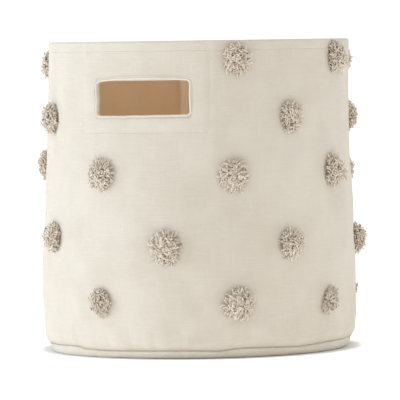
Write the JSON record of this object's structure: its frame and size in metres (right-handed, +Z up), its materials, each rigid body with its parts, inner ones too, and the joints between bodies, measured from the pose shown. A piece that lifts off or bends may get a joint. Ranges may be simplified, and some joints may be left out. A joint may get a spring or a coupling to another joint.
{
  "type": "fabric storage bin",
  "caption": "Round padded canvas storage bin with an open top, facing hand openings near the rim and staggered rows of shaggy yarn tufts on the wall.",
  "frame": {"origin": "centre of the base on the floor, on the bin's upright axis", "axes": "+Z up through the open top, -Y towards the front hand opening, +X to the right seen from the front"},
  "size_m": [0.4365, 0.4379, 0.406],
  "materials": {
    "canvas": "plain-weave cream cotton canvas",
    "lining": "plain-weave tan cotton lining",
    "binding": "folded cream cotton",
    "foam": "soft open-cell foam",
    "board": "thin fibreboard",
    "thread": "cotton sewing thread",
    "yarn": "cut cotton yarn, greige"
  },
  "bodies": {
    "root": {"back_facing_stitching": "thread", "back_handle_binding": "binding", "back_handle_facing": "lining", "back_opening_stitching": "thread", "base_board": "board", "base_canvas": "canvas", "base_lining": "lining", "base_pad": "foam", "front_facing_stitching": "thread", "front_handle_binding": "binding", "front_handle_facing": "lining", "front_opening_stitching": "thread", "hem_stitching": "thread", "outer_canvas": "canvas", "tuft_row1_1": "yarn", "tuft_row1_2": "yarn", "tuft_row1_3": "yarn", "tuft_row1_4": "yarn", "tuft_row1_5": "yarn", "tuft_row2_1": "yarn", "tuft_row2_2": "yarn", "tuft_row2_3": "yarn", "tuft_row2_4": "yarn", "tuft_row2_5": "yarn", "tuft_row3_1": "yarn", "tuft_row3_2": "yarn", "tuft_row3_3": "yarn", "tuft_row3_4": "yarn", "tuft_row3_5": "yarn", "tuft_row3_6": "yarn", "tuft_row3_7": "yarn", "tuft_row4_1": "yarn", "tuft_row4_2": "yarn", "tuft_row4_3": "yarn", "tuft_row4_4": "yarn", "tuft_row4_5": "yarn", "tuft_row4_6": "yarn", "tuft_row4_7": "yarn", "tuft_row5_1": "yarn", "tuft_row5_2": "yarn", "tuft_row5_3": "yarn", "tuft_row5_4": "yarn", "tuft_row5_5": "yarn", "tuft_row5_6": "yarn", "tuft_row5_7": "yarn", "wall_foam": "foam", "wall_lining": "lining"}
  },
  "joints": []
}
